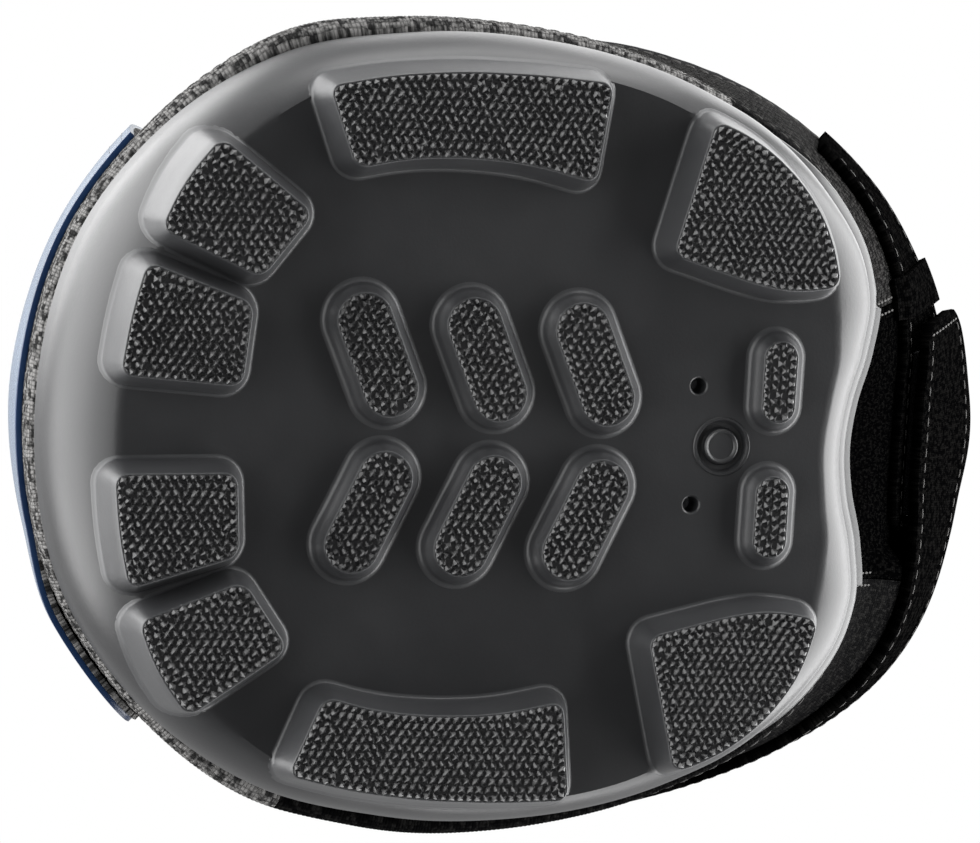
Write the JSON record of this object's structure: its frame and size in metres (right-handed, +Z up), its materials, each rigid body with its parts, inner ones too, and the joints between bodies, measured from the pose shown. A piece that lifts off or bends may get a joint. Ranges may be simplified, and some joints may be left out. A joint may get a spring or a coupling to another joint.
{
  "type": "horse hoof boot",
  "caption": "Horse hoof boot with a studded rubber sole and low cup, woven upper, side-opening front flap, padded tongue and collar, and a heel strap with a webbing keeper.",
  "frame": {"origin": "middle of the boot's footprint, at the level of the lug faces that stand on the ground", "axes": "+Z up, toe towards -Y, heel towards +Y, +X to the side on which the front flap is sewn"},
  "size_m": [0.1622, 0.2164, 0.124],
  "materials": {
    "rubber": "matt moulded rubber with a satin rim",
    "insole_foam": "dense closed foam pad",
    "woven_shell": "coarse ballistic weave in black and pale yarns",
    "black_webbing": "black webbing and panel fabric",
    "grey_weave": "salt-and-pepper weave",
    "blue_facing": "pale blue face fabric with a navy edge",
    "hook_and_loop": "black hook and loop tape",
    "lining_knit": "soft knit",
    "collar_padding": "padded knit with stitch lines",
    "stiffener_board": "thin moulded board, hidden"
  },
  "bodies": {
    "boot": {"outsole": "rubber", "insole_pad": "insole_foam", "quarter_right": "woven_shell", "quarter_left": "woven_shell", "toe_panel": "woven_shell", "heel_panel": "black_webbing", "toe_stiffener": "stiffener_board", "heel_counter": "stiffener_board", "lining": "lining_knit", "edge_tape": "grey_weave", "collar_right": "collar_padding", "collar_left": "collar_padding", "heel_collar": "collar_padding", "front_loop_tape": "hook_and_loop", "heel_strap_base": "black_webbing", "heel_loop_tape": "hook_and_loop", "strap_keeper": "black_webbing"},
    "front_flap": {"front_flap": "grey_weave", "front_flap_facing": "blue_facing", "front_hook_tape": "hook_and_loop"},
    "heel_strap": {"heel_strap": "black_webbing", "heel_hook_tape": "hook_and_loop"},
    "tongue": {"tongue": "black_webbing", "tongue_pad": "collar_padding"}
  },
  "joints": [
    {"name": "front_flap_hinge", "type": "hinge", "parent": "boot", "child": "front_flap", "pos_m": [0.05524, -0.08302, 0.0685], "axis": [-0.0292, 0.2856, 0.9579], "range_deg": [0, 110]},
    {"name": "heel_strap_hinge", "type": "hinge", "parent": "boot", "child": "heel_strap", "pos_m": [-0.07984, 0.00758, 0.073], "axis": [-0.0153, 0.3245, 0.9458], "range_deg": [0, 110]},
    {"name": "tongue_tilt", "type": "hinge", "parent": "boot", "child": "tongue", "pos_m": [0.00134, -0.09106, 0.048], "axis": [-1, 0, 0], "range_deg": [0, 20]}
  ]
}
